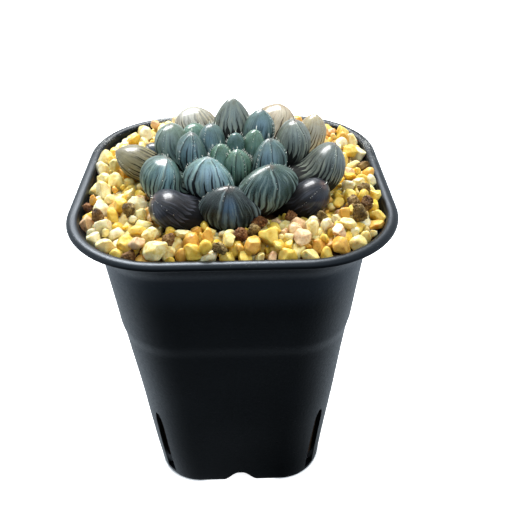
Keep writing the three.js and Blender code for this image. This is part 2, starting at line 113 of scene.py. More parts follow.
LEAVES = [
    leaf_shape(280, 2, 99, 85, 3.5, 4.4, 4.2, 91),
    leaf_shape(350, 4.5, 98.5, 80, 4.2, 5.8, 5.2, 90, peak=0.1),
    leaf_shape(155, 6, 98, 85, 4.7, 7.6, 6.2, 89, peak=0.05),
    leaf_shape(246, 7.2, 98, 85, 4, 5.6, 5.2, 90, peak=0.1),
    leaf_shape(275, 8.5, 97, 90, 4.4, 6.6, 5.8, 90, peak=0.2),
    leaf_shape(52, 10, 98.3, 78, 5.6, 8.2, 7.2, 88, peak=0.25),
    leaf_shape(319, 10.8, 97.3, 92, 6, 9.4, 7.4, 88, peak=0.25),
    leaf_shape(197, 10.7, 97.6, 95, 5.6, 8.6, 7.2, 88, peak=0.2),
    leaf_shape(92, 11.5, 97, 68, 8.2, 11, 8, 88, point=0.7, peak=0.15),
    leaf_shape(142, 12.5, 95.9, 80, 4.6, 8.2, 6.6, 88),
    leaf_shape(11, 14.5, 97.2, 88, 6.1, 11.4, 8.4, 87, peak=0.08),
    leaf_shape(246, 14.5, 95.9, 95, 6, 12.2, 8, 87, peak=0.3),
    leaf_shape(163, 16, 96.5, 85, 5.3, 10.4, 8.2, 87, peak=0.05),
    leaf_shape(295, 17.3, 95, 82, 6.2, 16, 9.2, 86.5, yaw=20, peak=0.15),
    leaf_shape(208.5, 19.3, 93.7, 108, 6.2, 14, 9.2, 86.5, peak=0.1),
    leaf_shape(266.5, 19.5, 92.2, 82, 6.2, 14, 8.8, 86, peak=0.15),
    leaf_shape(119.5, 20.3, 94.6, 45, 6.4, 12.2, 8.6, 86.5, peak=0.08),
    leaf_shape(60, 20.5, 94.8, 50, 6.6, 12.4, 8.6, 86.5, peak=0.12),
    leaf_shape(345.5, 21.2, 93.8, 66, 7.4, 13.6, 9.6, 86.5, yaw=24, peak=0.05),
    leaf_shape(158, 21.5, 91.5, 50, 4, 6.4, 6, 86),
    leaf_shape(28.5, 22, 95.4, 75, 6, 8.4, 7.2, 86.5, peak=0.1),
    leaf_shape(318, 22, 91.6, 50, 6, 9.8, 8.2, 86, yaw=20, point=-0.6),
    leaf_shape(175, 23.5, 92.9, 28, 6.6, 9.6, 8, 86, yaw=-5, peak=0.3),
    leaf_shape(236, 23.5, 91.8, 42, 6, 11.6, 8.6, 86, yaw=-45, bow=2, point=-1.2),
    leaf_shape(90, 21.5, 91.2, 35, 5, 9, 6, 86),
]
ROOT_RADIUS = 2
ROOT_SHARE = 0.5
NECK_REACH = 0.55
NECK_RISE = 0.32
SWELL = 1.1
ROUNDNESS = 2.2
LEAF_SIDES = 84
LEAF_LOW_RINGS = 18
LEAF_CAP_RINGS = 34
MAP_LENGTH = 20  # millimetres along a leaf that the map's second coordinate counts as one
FINGER_END = 13
GLOW_BAND = 0.3  # as a share of half a turn


def leaf_marks(tone, keels, start, windows, end=FINGER_END, band=GLOW_BAND):
    """What a leaf looks like: its tone, the angles of its keels round the leaf in degrees (270 is its
    outer face), how far below the tip the dark windows start, how many of them go round it, how far
    below the tip the pale fingers between them end, and how wide the bluish band on its face is.
    """
    return {"tone": tone, "keels": keels, "start": start, "windows": windows, "end": end, "band": band}


LEAF_LOOKS = [
    leaf_marks("bead", [], 5.0, 16),
    leaf_marks("green", [250], 4.6, 16),
    leaf_marks("blue", [], 5.2, 18),
    leaf_marks("green", [262], 4.4, 16),
    leaf_marks("green", [255, 292], 4.2, 16),
    leaf_marks("blue", [], 5.8, 18),
    leaf_marks("blue", [232, 285], 4.2, 18),
    leaf_marks("blue", [305, 350], 4.0, 18),
    leaf_marks("grey", [], 5.4, 26, end=11),
    leaf_marks("green", [], 5.2, 18),
    leaf_marks("grey", [200], 5.6, 24, end=11),
    leaf_marks("sky", [254, 316], 4.4, 16),
    leaf_marks("sage", [330], 7.6, 20),
    leaf_marks("deep", [260], 5.6, 26),
    leaf_marks("teal", [326], 5.2, 24),
    leaf_marks("dusk", [256], 5.4, 26, band=0.14),
    leaf_marks("cream", [], 6.8, 24),
    leaf_marks("amber", [], 6.8, 24),
    leaf_marks("slate", [190], 5.4, 28, end=12),
    leaf_marks("dusk", [20], 5.6, 18),
    leaf_marks("straw", [], 3.6, 26),
    leaf_marks("plum", [], 6.4, 26, end=10.5),
    leaf_marks("olive", [346], 6.2, 24),
    leaf_marks("plum", [312], 6.2, 28, end=12),
    leaf_marks("cream", [90], 6.6, 22),
]

# The colours of each tone of leaf: its body, the bluish glow in the middle of its faces, partly its own
# colour and partly painted light, the pale fingers between the windows, the dark windows, and its
# greenish or brownish mottle and foot, which also paints shade at its margins.
TONES = {
    "bead": [(84, 108, 108), (98, 124, 134), (120, 144, 138), (20, 34, 30), (50, 80, 52)],
    "sky": [(112, 142, 146), (160, 190, 206), (168, 192, 184), (8, 12, 14), (66, 88, 66)],
    "blue": [(82, 106, 107), (112, 140, 154), (128, 147, 143), (8, 12, 13), (56, 76, 56)],
    "green": [(90, 118, 106), (120, 150, 144), (134, 158, 136), (14, 26, 20), (60, 88, 52)],
    "sage": [(98, 114, 104), (124, 142, 142), (150, 166, 148), (14, 20, 16), (64, 80, 54)],
    "teal": [(74, 101, 99), (95, 129, 138), (146, 164, 152), (7, 10, 10), (44, 62, 38)],
    "deep": [(48, 69, 67), (61, 85, 90), (158, 180, 176), (6, 9, 9), (50, 68, 46)],
    "grey": [(102, 111, 105), (118, 132, 131), (153, 158, 142), (9, 10, 8), (74, 73, 50)],
    "slate": [(82, 91, 88), (98, 110, 112), (150, 156, 140), (8, 9, 8), (58, 60, 43)],
    "dusk": [(32, 42, 41), (78, 104, 130), (134, 152, 154), (5, 7, 10), (32, 38, 33)],
    "plum": [(30, 32, 39), (42, 48, 64), (82, 85, 96), (5, 5, 8), (36, 31, 28)],
    "olive": [(120, 114, 94), (146, 138, 104), (148, 140, 106), (14, 12, 9), (94, 86, 46)],
    "straw": [(164, 156, 132), (188, 184, 170), (204, 192, 150), (86, 64, 32), (146, 120, 66)],
    "amber": [(142, 124, 96), (184, 174, 154), (170, 156, 124), (56, 42, 26), (112, 90, 60)],
    "cream": [(152, 150, 138), (172, 172, 164), (190, 180, 148), (46, 38, 26), (110, 92, 56)],
}
GLASSY_TONES = ("bead", "green")  # smoother than the others, with no red at their tips
DULL_TONES = ("plum", "slate", "deep")  # less glossy than the others

# Keels, teeth and bristles of the leaves
KEEL_HEIGHT = 0.35
KEEL_WIDTH = 11  # degrees round the leaf
TOOTH_LENGTH = 0.4
TOOTH_RADIUS = 0.07
TOOTH_SINK = 0.08
BRISTLE_LENGTH = 0.9
BRISTLE_RADIUS = 0.12
TOOTH_SPACING = 0.75
KEEL_TOOTH_SPACING = 2.6
INNER_REACH = 12  # leaves closer to the rosette's axis than this are inner ones
INNER_TOOTH_GAIN = 1.5  # their teeth are longer by this
INNER_SPACING = 0.6  # and as far apart as this share of the others' teeth
TOOTH_FIRST = 0.7  # below the tip
TOOTH_LAST = 8.0
TOOTH_LEAN = 0.8  # how far they lean towards the tip
TIP_RISE = 0.25  # of the tip over the end of the leaf's midline
DENT = 0.006  # how deep the leaves' soft dents are, as a share of the distance from the root

# The gravel. The largest grains lie where the part's source puts its grains.
GRAVEL_BED = 86.8
GRAVEL_FLOOR = 83.7
GRAVEL_LEVEL = 87.4
GRAVEL_TOP = 3.5  # the highest middle of a grain above that level, where there is no heap
LUMP_TOP = 4.2
FILLER_LIFT = 3.5  # the smaller grains start up to this far above it, and the lumps just above them
LUMP_LIFT = 3.6
HOLLOW_GAIN = 1.7  # in a hollow the top of the gravel sinks this much more than its bed
GRAVEL_DIP = {"depth": 1.6, "from": 30, "to": 25}  # towards the leaves, by the distance from their axis
GRAIN_SPACING = 5.3
GRAIN_SIZES = [2.6, 3.4]
GRAIN_FLATNESS = [0.62, 0.9]
GRAIN_SPREAD = [-0.9, 0.9]
GRAIN_LIFT = [-0.5, 0.4]
GRAIN_MARGIN = 1.6  # between the wall and the middle of a grain, at this height
GRAIN_LEVEL_AT_WALL = 86.4
FILLER_FLATNESS = [(0.55, 0.42), (0.55, 0.4)]  # the least, and how much more by chance
LUMP_FLATNESS = [(0.7, 0.25), (0.7, 0.25)]
GRAIN_PLANES = 11  # that flatten each grain
GRAIN_CONTACT = 0.94  # how near grains come to each other, as a share of their mean half lengths
GRAIN_ON_BED = 0.7  # and how near they come to the bed and to the wall, as shares of that
GRAIN_AT_WALL = 0.8
WALL_CLEARANCE = 0.35
# Grains settle in steps. Each step lets them fall a little less than the one before, and undoes a
# share of what they overlap each other, the push, and of what they overlap the leaves, the press.
SETTLING = {"steps": 110, "fall": 0.09, "push": 0.28, "press": 0.35}
GRAVEL_HOLE = 17
FILLER_HOLE = 15
GRAVEL_SEED = 20
LARGE_GRAIN_SHARE = 0.84  # of the size in the part's source, where grains merge into each other
HEAPS = [(-20, 27.5, 2.4, 8), (26, 20, 0.9, 9), (4, -26, 0.5, 14), (-33.5, 23.5, -2.7, 6.5)]
FILLERS = [  # how many more grains, and their half lengths
    (300, (1.4, 2.2)),
    (320, (0.8, 1.3)),
]
# Brown, porous lumps among the grains: x, y and half length.
LUMPS = [
    (25.5, -12.5, 2.1), (28.6, -10.6, 1.7), (28.2, -15.2, 1.8), (27, -20.6, 2.3), (1.8, -23.2, 2.2),
    (7.4, -24.2, 2.0), (4, -26.8, 1.7), (-33, -13.3, 2.0), (-30.8, -18.8, 1.9), (-20.5, -15, 2.0),
    (14.8, -16.9, 1.8), (17.8, -17.8, 1.5), (-2.8, -32.4, 1.8), (-21, -31.8, 2.0), (-13.8, -30.4, 1.6),
    (-33, 14.5, 1.6), (31, 4, 1.7), (22, 26, 1.8), (-8, 31, 1.8), (9, 28, 1.6),
]
FINE_GRAIN = 1.8  # grains with a greater half length are drawn with more faces
# Each kind of quartz: its share of the grains, its colours, the colour of its stains, and how milky
# it is inside.
QUARTZ = {
    "cream": (0.34, [(228, 212, 142), (240, 228, 174), (214, 186, 96)], (196, 140, 62), 0.35),
    "yellow": (0.32, [(223, 190, 76), (231, 206, 110), (213, 169, 50)], (192, 132, 40), 0.35),
    "ochre": (0.11, [(214, 164, 64), (226, 180, 86), (193, 133, 46)], (150, 88, 34), 0.3),
    "pale": (0.17, [(236, 228, 194), (226, 218, 180), (208, 192, 136)], (190, 160, 100), 0.4),
    "pink": (0.06, [(230, 202, 158), (218, 182, 136), (196, 148, 104)], (146, 92, 58), 0.3),
}
BED_RINGS = 26


def srgb(red, green, blue):
    """A colour as it shows on a screen, from 0 to 255, as the light values that shaders use."""
    values = np.array([red, green, blue]) / 255
    linear = np.where(values <= 0.04045, values / 12.92, ((values + 0.055) / 1.055) ** 2.4)
    return (*linear.tolist(), 1.0)


def heading(turn, elevation):
    """The direction at a turn about the pot's axis and an elevation, both in degrees."""
    turn, elevation = math.radians(turn), math.radians(elevation)
    flat = math.cos(elevation)
    return np.array([math.cos(turn) * flat, math.sin(turn) * flat, math.sin(elevation)])


def unit(vector):
    return vector / np.linalg.norm(vector)


def random_source(seed):
    """The same repeatable numbers between 0 and 1 as in the part's source."""
    state = seed
    while True:
        state = (state * 1664525 + 1013904223) % 4294967296
        yield state / 4294967296


# Pieces and materials


def mesh_object(name, points, faces, material, corner_map=None, tones=None, mend_normals=True):
    mesh = bpy.data.meshes.new(name)
    mesh.from_pydata((np.asarray(points) * MM).tolist(), [], [list(face) for face in faces])
    if corner_map is not None:
        layer = mesh.uv_layers.new(name="leaf_map")
        layer.data.foreach_set("uv", np.asarray(corner_map, dtype=np.float32).ravel())
    if tones is not None:
        layer = mesh.attributes.new("tone", "FLOAT", "POINT")
        layer.data.foreach_set("value", np.asarray(tones, dtype=np.float32))
    mesh.validate()
    if mend_normals:
        body = bmesh.new()
        body.from_mesh(mesh)
        bmesh.ops.recalc_face_normals(body, faces=body.faces)
        body.to_mesh(mesh)
        body.free()
    mesh.shade_smooth()
    mesh.materials.append(material)
    made = bpy.data.objects.new(name, mesh)
    bpy.context.scene.collection.objects.link(made)
    return made


def settle_piece(piece, node):
    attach(piece, "root")
    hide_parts(node)


class Look:
    """A material or world made node by node. Each method returns the socket of what it makes."""

    def __init__(self, name, kind="materials", shader="Principled BSDF"):
        self.block = getattr(bpy.data, kind).new(name)
        self.block.use_nodes = True
        self.tree = self.block.node_tree
        self.shader = self.tree.nodes[shader]

    def feed(self, socket, value):
        if isinstance(value, bpy.types.NodeSocket):
            self.tree.links.new(value, socket)
        else:
            socket.default_value = value

    def node(self, kind, inputs, **settings):
        made = self.tree.nodes.new(kind)
        for key, value in settings.items():
            setattr(made, key, value)
        for key, value in inputs.items():
            self.feed(made.inputs[key], value)
        return made

    def surface(self, **inputs):
        """Sets the shader's own inputs. Underscores in their names stand for spaces."""
        for key, value in inputs.items():
            self.feed(self.shader.inputs[key.replace("_", " ")], value)

    def math(self, operation, *values):
        return self.node("ShaderNodeMath", dict(enumerate(values)), operation=operation).outputs[0]

    def times(self, first, second):
        return self.math("MULTIPLY", first, second)

    def plus(self, first, second):
        return self.math("ADD", first, second)

    def minus(self, first, second):
        return self.math("SUBTRACT", first, second)

    def scaled(self, value, factor, offset):
        return self.math("MULTIPLY_ADD", value, factor, offset)

    def near(self, value, middle, low, high):
        """1 where the value is within low of the middle, and 0 where it is further off than high."""
        return self.ease(self.math("ABSOLUTE", self.minus(value, middle)), low, high, 1.0, 0.0)

    def ease(self, value, low, high, start=0.0, end=1.0):
        """Goes smoothly from start to end while the value goes from low to high."""
        inputs = {"Value": value, "From Min": low, "From Max": high, "To Min": start, "To Max": end}
        return self.node("ShaderNodeMapRange", inputs, interpolation_type="SMOOTHSTEP").outputs[0]

    def mix(self, share, first, second):
        return self.node("ShaderNodeMix", {0: share, 6: first, 7: second}, data_type="RGBA").outputs[2]

    def cover(self, colour, *layers):
        """The colour under layers, each of them the share that it covers and its own colour."""
        for share, layer in layers:
            colour = self.mix(share, colour, layer)
        return colour

    def noise(self, place, scale, detail=3.0, roughness=0.5):
        inputs = {"Vector": place, "Scale": scale, "Detail": detail, "Roughness": roughness}
        return self.node("ShaderNodeTexNoise", inputs).outputs["Fac"]

    def cells(self, place, scale, feature="F1"):
        inputs = {"Vector": place, "Scale": scale}
        return self.node("ShaderNodeTexVoronoi", inputs, feature=feature).outputs["Distance"]

    def vector(self, x, y, z=0.0):
        return self.node("ShaderNodeCombineXYZ", {0: x, 1: y, 2: z}).outputs[0]

    def parts(self, vector):
        return self.node("ShaderNodeSeparateXYZ", {0: vector}).outputs

    def ramp(self, value, stops):
        made = self.node("ShaderNodeValToRGB", {"Fac": value})
        elements = made.color_ramp.elements
        while len(elements) < len(stops):
            elements.new(1.0)
        for element, (place, colour) in zip(elements, stops):
            element.position = place
            element.color = srgb(*colour)
        return made.outputs["Color"]

    def tone(self):
        """The number between 0 and 1 that each grain has."""
        return self.node("ShaderNodeAttribute", {}, attribute_name="tone").outputs["Fac"]

    def place(self):
        """The place on the piece, in millimetres."""
        coordinates = self.node("ShaderNodeTexCoord", {}).outputs["Object"]
        inputs = {0: coordinates, 1: (1000, 1000, 1000)}
        return self.node("ShaderNodeVectorMath", inputs, operation="MULTIPLY").outputs[0]

    def bump(self, height, distance, strength=1.0):
        inputs = {"Height": height, "Distance": distance * MM, "Strength": strength}
        self.surface(Normal=self.node("ShaderNodeBump", inputs).outputs[0])


# The pot


def square_ring(half, straight, z):
    """A square with round corners, as points that go round it from the +X side."""
    radius = half - straight
    ring = []
    for corner in range(4):
        middle = math.radians(45 + 90 * corner)
        centre = straight * np.sign([math.cos(middle), math.sin(middle)])
        for step in range(POT_CORNER_STEPS + 1):
            angle = math.radians(90 * (corner + step / POT_CORNER_STEPS))
            ring.append(centre + radius * np.array([math.cos(angle), math.sin(angle)]))
        start = ring[-1]
        turn = math.radians(90 * (corner + 1))
        along = np.array([-math.sin(turn), math.cos(turn)])
        for step in range(1, POT_SIDE_STEPS):
            ring.append(start + along * 2 * straight * step / POT_SIDE_STEPS)
    return np.column_stack([np.array(ring), np.full(len(ring), z)])


def along_wall(foot, top, z):
    return foot + (top - foot) * z / LIP_UNDERSIDE


def wall_half(z):
    return along_wall(WALL_HALF_FOOT, WALL_HALF_TOP, z)


def wall_straight(z):
    return along_wall(WALL_STRAIGHT_FOOT, RIM_STRAIGHT, z)


def outer_half(z):
    share = max(0, (z - FLARE_START) / (LIP_UNDERSIDE - FLARE_START))
    return wall_half(z) + FLARE_OUT * share**FLARE_POWER


def inner_half(z):
    share = np.maximum(0, (z - INNER_FLARE_START) / (INNER_FLARE_END - INNER_FLARE_START))
    return wall_half(z) - WALL + INNER_FLARE_OUT * share**INNER_FLARE_POWER


def loft_faces(rings, count):
    """Faces between rings of the same number of points, with a fan to a point at each end."""
    faces = []
    last = 1 + rings * count
    for side in range(count):
        after = (side + 1) % count
        faces.append((0, 1 + after, 1 + side))
        for ring in range(rings - 1):
            low = 1 + ring * count
            high = low + count
            faces.append((low + side, low + after, high + after, high + side))
        end = last - count
        faces.append((end + side, end + after, last))
    return faces


def pot_profile():
    """Half width, straight part and height, from under the floor up the outside and down inside."""
    foot = wall_half(0)
    profile = [(foot - FOOT_WIDTH, WALL_STRAIGHT_FOOT, FLOOR_UNDERSIDE)]
    profile += [(foot - FOOT_WIDTH, WALL_STRAIGHT_FOOT, 0)]
    for step in range(4):
        angle = math.radians(30 * step)
        half = foot - LEDGE_DEPTH - FOOT_BEVEL * (1 - math.sin(angle))
        profile.append((half, WALL_STRAIGHT_FOOT, FOOT_BEVEL * (1 - math.cos(angle))))
    for z in np.linspace(1.5, LEDGE_HEIGHT - LEDGE_SPREAD, 26):
        profile.append((wall_half(z) - LEDGE_DEPTH, wall_straight(z), z))
    for share in np.linspace(0, 1, 9)[1:-1]:
        z = LEDGE_HEIGHT + LEDGE_SPREAD * (2 * share - 1)
        step_out = LEDGE_DEPTH * (1 - share * share * (3 - 2 * share))
        profile.append((wall_half(z) - step_out, wall_straight(z), z))
    for z in np.linspace(LEDGE_HEIGHT + LEDGE_SPREAD, FLARE_START, 12, endpoint=False):
        profile.append((wall_half(z), wall_straight(z), z))
    for z in np.linspace(FLARE_START, LIP_UNDERSIDE, 9):
        profile.append((outer_half(z), wall_straight(z), z))
    # The rim is a narrow lip, rounded on both sides.
    for angle in np.radians(np.linspace(-60, 180, 21)):
        height = (LIP["rise"] if angle > 0 else LIP["drop"]) * math.sin(angle)
        half = RIM_HALF - LIP["width"] / 2 * (1 - math.cos(angle))
        profile.append((half, RIM_STRAIGHT, LIP["level"] + height))
    for z in np.linspace(INNER_FLARE_END, INNER_FLARE_START, 8):
        profile.append((inner_half(z), wall_straight(z), z))
    for z in (70, 50, 30, 15, FLOOR_TOP + 0.6):
        profile.append((inner_half(z), wall_straight(z), z))
    profile.append((inner_half(FLOOR_TOP) - 0.6, wall_straight(FLOOR_TOP), FLOOR_TOP))
    return profile


def prism(outline, inner, outer, angle):
    """An upright outline, in x and z, pushed out along the radius at an angle, as a cutter."""
    count = len(outline)
    points = [(inner, -x, z) for x, z in outline] + [(outer, -x, z) for x, z in outline]
    faces = [tuple(range(count))[::-1], tuple(range(count, 2 * count))]
    faces += [(i, (i + 1) % count, (i + 1) % count + count, i + count) for i in range(count)]
    turn = np.array(Matrix.Rotation(math.radians(angle), 3, "Z"))
    return np.array(points) @ turn.T, faces


def slit_outline():
    """It narrows a little up to its shoulder, and then to a blunt point."""
    shoulder = SLIT["top"] - SLIT["point"]
    narrowing = [(1, SLIT["bottom"]), (0.85, shoulder), (0.62, shoulder + 2.6), (0.3, SLIT["top"])]
    right = [(SLIT["width"] / 2 * share, z) for share, z in narrowing]
    return right + [(-x, z) for x, z in reversed(right)]


def notch_outline():
    steps = 14
    right = [(NOTCH["half_width"], -1)]
    for step in range(steps + 1):
        share = step / steps
        x = NOTCH["half_width"] + (NOTCH["half_crown"] - NOTCH["half_width"]) * share
        right.append((x, NOTCH["height"] * (1 - math.cos(math.pi * share)) / 2))
    return right + [(-x, z) for x, z in reversed(right)]


def cutter_object():
    points, faces = [], []
    for side in (0, 90, 180, 270):
        for outline, angle in ((notch_outline(), side), (slit_outline(), side + 45)):
            more_points, more_faces = prism(outline, SLIT["inner"], 2 * RIM_HALF, angle)
            faces += [tuple(i + len(points) for i in face) for face in more_faces]
            points += more_points.tolist()
    return mesh_object("cutters", points, faces, None)


def make_pot(wall_material, rim_material):
    profile = pot_profile()
    rings = [square_ring(half, straight, z) for half, straight, z in profile]
    # The moulded wall isn't quite true.
    for ring in rings:
        for point in ring:
            if DRIFT_HEIGHTS[0] < point[2] < DRIFT_HEIGHTS[1]:
                drift = noise.noise(Vector(point) * 0.045) * WALL_DRIFT
                point[:2] += point[:2] / np.hypot(*point[:2]) * drift
    points = np.vstack([[[0, 0, FLOOR_UNDERSIDE]], *rings, [[0, 0, FLOOR_TOP]]])
    pot = mesh_object("nursery_pot", points, loft_faces(len(rings), len(rings[0])), wall_material)
    cutters = cutter_object()
    cut = pot.modifiers.new("cut", "BOOLEAN")
    cut.object = cutters
    cut.solver = "EXACT"
    finished = bpy.data.meshes.new_from_object(pot.evaluated_get(bpy.context.evaluated_depsgraph_get()))
    pot.modifiers.clear()
    pot.data = finished
    bpy.data.objects.remove(cutters)
    finished.shade_smooth()
    finished.set_sharp_from_angle(angle=math.radians(SHARP_ANGLE))
    finished.materials.append(rim_material)
    for polygon in finished.polygons:
        if polygon.center.z > LIP_UNDERSIDE * MM:
            polygon.material_index = 1
    settle_piece(pot, "pot")


# The leaves


def leaf_stations(leaf):
    out = heading(leaf["turn"], 0)
    side = np.array([-out[1], out[0], 0])
    neck_reach = ROOT_RADIUS + NECK_REACH * (leaf["reach"] - ROOT_RADIUS)
    neck_height = leaf["root"] + NECK_RISE * (leaf["height"] - leaf["root"])
    start = AXIS + out * ROOT_RADIUS + [0, 0, leaf["root"]]
    neck = AXIS + out * neck_reach + side * leaf.get("bow", 0) + [0, 0, neck_height]
    widest = AXIS + out * leaf["reach"] + [0, 0, leaf["height"]]
    end = widest + heading(leaf["turn"] + leaf.get("yaw", 0), leaf["lean"]) * leaf["tip"]
    return np.array([start, neck, widest, end])


def midline(stations, shares):
    """Points and directions of the smooth curve through the stations, at shares of its length."""
    points = np.array([2 * stations[0] - stations[1], *stations, 2 * stations[3] - stations[2]])
    lengths = np.linalg.norm(np.diff(points, axis=0), axis=1)
    knots = np.concatenate([[0], np.cumsum(lengths[1:4])]) / lengths[1:4].sum()
    slopes = []
    for i in range(4):
        backward = (points[i + 1] - points[i]) * lengths[i + 1] / lengths[i]
        forward = (points[i + 2] - points[i + 1]) * lengths[i] / lengths[i + 1]
        slopes.append((backward + forward) / (lengths[i] + lengths[i + 1]))
    places, directions = [], []
    for share in shares:
        span = min(2, max(0, int(np.searchsorted(knots, share, side="right")) - 1))
        a = (share - knots[span]) / (knots[span + 1] - knots[span])
        first, last = stations[span], stations[span + 1]
        leave, arrive = slopes[span] * lengths[span + 1], slopes[span + 1] * lengths[span + 1]
        a2, a3 = a * a, a * a * a
        places.append(
            first * (2 * a3 - 3 * a2 + 1)
            + leave * (a3 - 2 * a2 + a)
            + last * (3 * a2 - 2 * a3)
            + arrive * (a3 - a2)
        )
        directions.append(
            (first - last) * (6 * a2 - 6 * a) + leave * (3 * a2 - 4 * a + 1) + arrive * (3 * a2 - 2 * a)
        )
    directions = np.array(directions)
    return np.array(places), directions / np.linalg.norm(directions, axis=1)[:, None], knots


def swelling(leaf, shares, widest):
    rise = np.sin(np.pi / 2 * np.clip(shares / widest, 0, 1)) ** SWELL
    past = np.clip((shares - widest) / (1 - widest), 0, 1)
    roundness = ROUNDNESS - leaf.get("point", 0)
    closing = np.clip(1 - past**roundness, 0, 1) ** (0.5 + leaf.get("peak", 0))
    return np.where(shares < widest, ROOT_SHARE + (1 - ROOT_SHARE) * rise, closing)


def keel_bulge(keels, turns, shares, widest):
    """How far each point of each ring bulges out at the keels."""
    past = np.clip((shares - widest) / (1 - widest), 0, 1)
    rise = np.where(shares < widest, np.clip(shares / widest, 0, 1) ** 3, np.sqrt(1 - past**3))
    bulge = np.zeros((len(shares), len(turns)))
    for keel in keels:
        gap = (np.degrees(turns) - keel + 180) % 360 - 180
        bulge += KEEL_HEIGHT * rise[:, None] * np.exp(-((gap / KEEL_WIDTH) ** 2))
    return bulge


def leaf_surface(leaf, keels, seed):
    """Rings of points over the leaf from its root to its tip, and each point's depth below the tip."""
    stations = leaf_stations(leaf)
    spans = np.linalg.norm(np.diff(stations, axis=0), axis=1)
    widest = (spans[0] + spans[1]) / spans.sum()
    low = widest * np.arange(LEAF_LOW_RINGS) / LEAF_LOW_RINGS
    cap = widest + (1 - widest) * np.sin(np.pi / 2 * np.arange(LEAF_CAP_RINGS) / LEAF_CAP_RINGS)
    shares = np.concatenate([low, cap])
    places, directions, _ = midline(stations, shares)
    size = swelling(leaf, shares, widest)
    out = heading(leaf["turn"] + leaf.get("yaw", 0) / 2, 0)
    across = np.array([-out[1], out[0], 0])
    side = across - directions * (directions @ across)[:, None]
    side /= np.linalg.norm(side, axis=1)[:, None]
    up = np.cross(directions, side)
    turns = 2 * np.pi * np.arange(LEAF_SIDES) / LEAF_SIDES + np.pi / 2
    bulge = keel_bulge(keels, turns, shares, widest)
    x = np.cos(turns) * (leaf["width"] / 2 * size[:, None] + bulge)
    y = np.sin(turns) * (leaf["thick"] / 2 * size[:, None] + bulge)
    points = places[:, None] + x[..., None] * side[:, None] + y[..., None] * up[:, None]
    # Soft dents keep the leaf from being a perfect form.
    shift = Vector((seed, 0, 0))
    for ring, scale in zip(points, size):
        for point in ring:
            point += (point - places[0]) * DENT * scale * noise.noise(Vector(point * 0.35) + shift)
    tip = stations[3] + directions[-1] * TIP_RISE
    up_to_tip = np.concatenate([points, np.tile(tip, (1, LEAF_SIDES, 1))])
    steps = np.linalg.norm(np.diff(up_to_tip, axis=0), axis=2)
    depth = np.cumsum(steps[::-1], axis=0)[::-1]
    return points, depth, tip


def add_tooth(tooth_points, tooth_faces, root, point_at, beside, radius, length):
    """A thin cone that stands on the leaf with its base just under the skin."""
    across = unit(np.cross(point_at, beside))
    above = np.cross(across, point_at)
    first = len(tooth_points)
    for step in range(4):
        turn = math.pi / 2 * step
        beyond = (across * math.cos(turn) + above * math.sin(turn)) * radius
        tooth_points.append(root - point_at * TOOTH_SINK + beyond)
    tooth_points.append(root + point_at * length)
    tooth_faces += [(first + i, first + (i + 1) % 4, first + 4) for i in range(4)]
    tooth_faces.append((first + 3, first + 2, first + 1, first))


def leaf_teeth(points, depth, tip, keels, random, inner):
    """Small pale teeth along the two margins and the keels, and a bristle at the tip."""
    tooth_points, tooth_faces = [], []
    centre = points.mean(axis=1)
    for angle in [0, 180, *keels]:
        spacing = (KEEL_TOOTH_SPACING if angle % 180 else TOOTH_SPACING) * (INNER_SPACING if inner else 1)
        side = round((angle - 90) % 360 / 360 * LEAF_SIDES) % LEAF_SIDES
        place = TOOTH_FIRST + next(random)
        while place < TOOTH_LAST:
            ring = int(np.argmin(np.abs(depth[:, side] - place)))
            root = points[ring, side]
            outward = unit(root - centre[ring])
            towards = points[min(ring + 1, len(points) - 1), side] - root
            point_at = unit(outward + towards / (np.linalg.norm(towards) + 1e-6) * TOOTH_LEAN)
            length = TOOTH_LENGTH * (0.5 + 1.1 * next(random)) * (INNER_TOOTH_GAIN if inner else 1)
            add_tooth(tooth_points, tooth_faces, root, point_at, outward, TOOTH_RADIUS, length)
            place += spacing * (0.45 + 2.0 * next(random) ** 2)
    ahead = unit(tip - centre[-1])
    length = BRISTLE_LENGTH * (0.6 + 0.6 * next(random))
    add_tooth(tooth_points, tooth_faces, tip, ahead, points[-1, 0] - centre[-1], BRISTLE_RADIUS, length)
    return tooth_points, tooth_faces


def leaf_map(faces, depth, last):
    """For each corner of each face, its share of a turn round the leaf and its depth below the tip."""
    around = np.arange(LEAF_SIDES) / LEAF_SIDES + 0.25
    corners = []
    for face in faces:
        sides = [(i - 1) % LEAF_SIDES for i in face if 0 < i < last]
        # Where the numbers of the sides start again, the map goes on instead of jumping back.
        wraps = LEAF_SIDES - 1 in sides and 0 in sides
        turns = {side: around[side] + (1 if wraps and side == 0 else 0) for side in sides}
        middle = np.mean(list(turns.values()))
        for i in face:
            if i == 0:
                corners.append((middle, depth[0].mean() / MAP_LENGTH))
            elif i == last:
                corners.append((middle, 0))
            else:
                ring, side = divmod(i - 1, LEAF_SIDES)
                corners.append((turns[side], depth[ring, side] / MAP_LENGTH))
    return corners


def make_leaf(index, leaf, look, material, tooth_material):
    random = random_source(1000 + index)
    keels = look["keels"]
    points, depth, tip = leaf_surface(leaf, keels, 7.3 * index)
    skin = np.vstack([[points[0].mean(axis=0)], points.reshape(-1, 3), [tip]])
    faces = loft_faces(len(points), LEAF_SIDES)
    corner_map = leaf_map(faces, depth, len(skin) - 1)
    tooth_points, tooth_faces = leaf_teeth(points, depth, tip, keels, random, leaf["reach"] < INNER_REACH)
    corner_map += [(0, 0)] * sum(len(face) for face in tooth_faces)
    all_faces = faces + [tuple(i + len(skin) for i in face) for face in tooth_faces]
    name = f"leaf_{index + 1:02d}"
    all_points = np.vstack([skin, tooth_points])
    piece = mesh_object("window_" + name, all_points, all_faces, material, corner_map)
    piece.data.materials.append(tooth_material)
    for polygon in piece.data.polygons[len(faces):]:
        polygon.material_index = 1
    settle_piece(piece, name)


